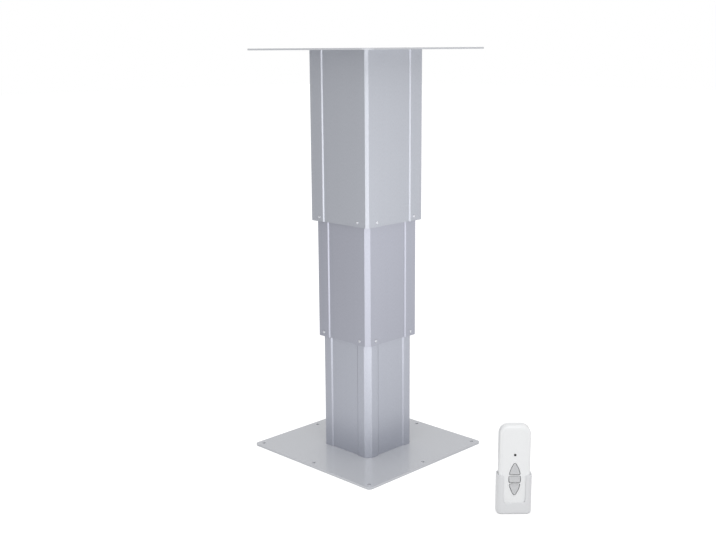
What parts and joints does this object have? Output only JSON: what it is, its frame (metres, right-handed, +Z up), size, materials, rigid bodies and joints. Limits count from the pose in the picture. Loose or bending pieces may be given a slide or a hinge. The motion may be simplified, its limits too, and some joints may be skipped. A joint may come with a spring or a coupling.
{
  "type": "electric lifting column",
  "caption": "Telescopic square lifting column of nested tubes between two square plates, raised by a hollow screw drive, with a radio handset in its holder.",
  "frame": {"origin": "centre of the base plate's underside, on the floor", "axes": "+Z up the column's axis, +X and +Y square to the sides of the plates; the handset stands on the +X side"},
  "size_m": [0.5477, 0.3, 0.73],
  "materials": {
    "base_plate_silver": "gloss silver paint on steel",
    "top_plate_silver": "gloss silver paint on steel",
    "lower_tube_silver": "satin silver anodised extrusion",
    "middle_tube_silver": "satin silver anodised extrusion",
    "upper_tube_silver": "satin silver anodised extrusion",
    "plain_steel": "bright steel, unpainted",
    "black_screw": "black oxide steel",
    "zinc_screw": "zinc-plated steel",
    "guide_plastic": "moulded black polyamide",
    "bronze": "turned bronze",
    "screw_steel": "rolled steel, oiled",
    "bearing_steel": "ground bearing steel",
    "spring_steel": "blued spring steel",
    "cast_aluminium": "die-cast aluminium",
    "motor_steel": "zinc-plated steel can",
    "black_plastic": "moulded black ABS",
    "circuit_board": "green solder resist",
    "holder_plastic": "moulded pale grey ABS",
    "handset_white": "moulded white ABS, gloss",
    "led_dark": "dark clear lens",
    "battery_label": "plain foil sleeve",
    "button_grey": "moulded grey rubber key"
  },
  "bodies": {
    "root": {"base_plate": "base_plate_silver", "lower_tube": "lower_tube_silver", "lower_corner_blocks": "plain_steel", "base_screws": "black_screw", "lower_guide_ring": "guide_plastic", "lower_nut_plate": "plain_steel", "lower_nut": "bronze", "lower_nut_screws": "black_screw", "remote_holder": "holder_plastic"},
    "middle_stage": {"middle_tube": "middle_tube_silver", "middle_guide_collar": "guide_plastic", "middle_collar_screws": "zinc_screw", "middle_guide_ring": "guide_plastic", "bearing_plate": "plain_steel", "bearing_outer_ring": "bearing_steel", "bearing_balls": "bearing_steel", "bearing_retainer": "plain_steel", "bearing_retainer_screws": "black_screw"},
    "hollow_spindle": {"hollow_screw": "screw_steel", "upper_nut": "bronze", "bearing_inner_ring": "bearing_steel", "bearing_circlip": "spring_steel", "screw_stop_ring": "spring_steel"},
    "upper_stage": {"upper_tube": "upper_tube_silver", "upper_guide_collar": "guide_plastic", "upper_collar_screws": "zinc_screw", "top_plate": "top_plate_silver", "upper_corner_blocks": "plain_steel", "top_screws": "black_screw", "gearbox_housing": "cast_aluminium", "gearbox_cover": "cast_aluminium", "gearbox_cover_screws": "black_screw", "gearbox_mount_screws": "black_screw", "motor_can": "motor_steel", "motor_end_cap": "black_plastic", "receiver_case": "black_plastic", "receiver_cover": "black_plastic", "receiver_board": "circuit_board", "receiver_screws": "black_screw", "power_socket": "black_plastic", "power_socket_nut": "zinc_screw"},
    "inner_spindle": {"inner_screw": "screw_steel", "screw_stop_bolt": "black_screw", "screw_washer": "zinc_screw", "screw_top_nut": "zinc_screw"},
    "handset": {"handset_front": "handset_white", "handset_back": "handset_white", "handset_board": "circuit_board", "handset_led": "led_dark", "handset_battery": "battery_label", "handset_screws": "black_screw"},
    "up_key": {"up_button": "button_grey"},
    "stop_key": {"stop_button": "button_grey"},
    "down_key": {"down_button": "button_grey"},
    "battery_lid": {"battery_door": "handset_white"}
  },
  "joints": [
    {"name": "middle_lift", "type": "slide", "parent": "root", "child": "middle_stage", "axis": [0, 0, 1], "range_m": [-0.2, 0]},
    {"name": "upper_lift", "type": "slide", "parent": "middle_stage", "child": "upper_stage", "axis": [0, 0, 1], "range_m": [-0.2, 0]},
    {"name": "hollow_screw_spin", "type": "hinge", "parent": "middle_stage", "child": "hollow_spindle", "pos_m": [0, 0, 0.46], "axis": [0, 0, 1], "range_deg": [-4505, 5]},
    {"name": "inner_screw_spin", "type": "hinge", "parent": "upper_stage", "child": "inner_spindle", "pos_m": [0, 0, 0.7], "axis": [0, 0, 1], "range_deg": [-9010, 10]},
    {"name": "handset_lift_out", "type": "slide", "parent": "root", "child": "handset", "axis": [0, 0, 1], "range_m": [0, 0.08]},
    {"name": "up_button_press", "type": "slide", "parent": "handset", "child": "up_key", "axis": [-0.7071, 0.7071, 0], "range_m": [0, 0.001], "stiffness_N_per_m": 400, "springref_m": -0.0004},
    {"name": "stop_button_press", "type": "slide", "parent": "handset", "child": "stop_key", "axis": [-0.7071, 0.7071, 0], "range_m": [0, 0.001], "stiffness_N_per_m": 400, "springref_m": -0.0004},
    {"name": "down_button_press", "type": "slide", "parent": "handset", "child": "down_key", "axis": [-0.7071, 0.7071, 0], "range_m": [0, 0.001], "stiffness_N_per_m": 400, "springref_m": -0.0004},
    {"name": "battery_door_pull", "type": "slide", "parent": "handset", "child": "battery_lid", "axis": [-0.7071, 0.7071, 0], "range_m": [0, 0.008]}
  ],
  "couplings": [
    {"joint": "upper_lift", "follows": "middle_lift", "ratio": 1},
    {"joint": "hollow_screw_spin", "follows": "middle_lift", "rad_per_m": 392.7},
    {"joint": "inner_screw_spin", "follows": "middle_lift", "rad_per_m": 785.4}
  ]
}
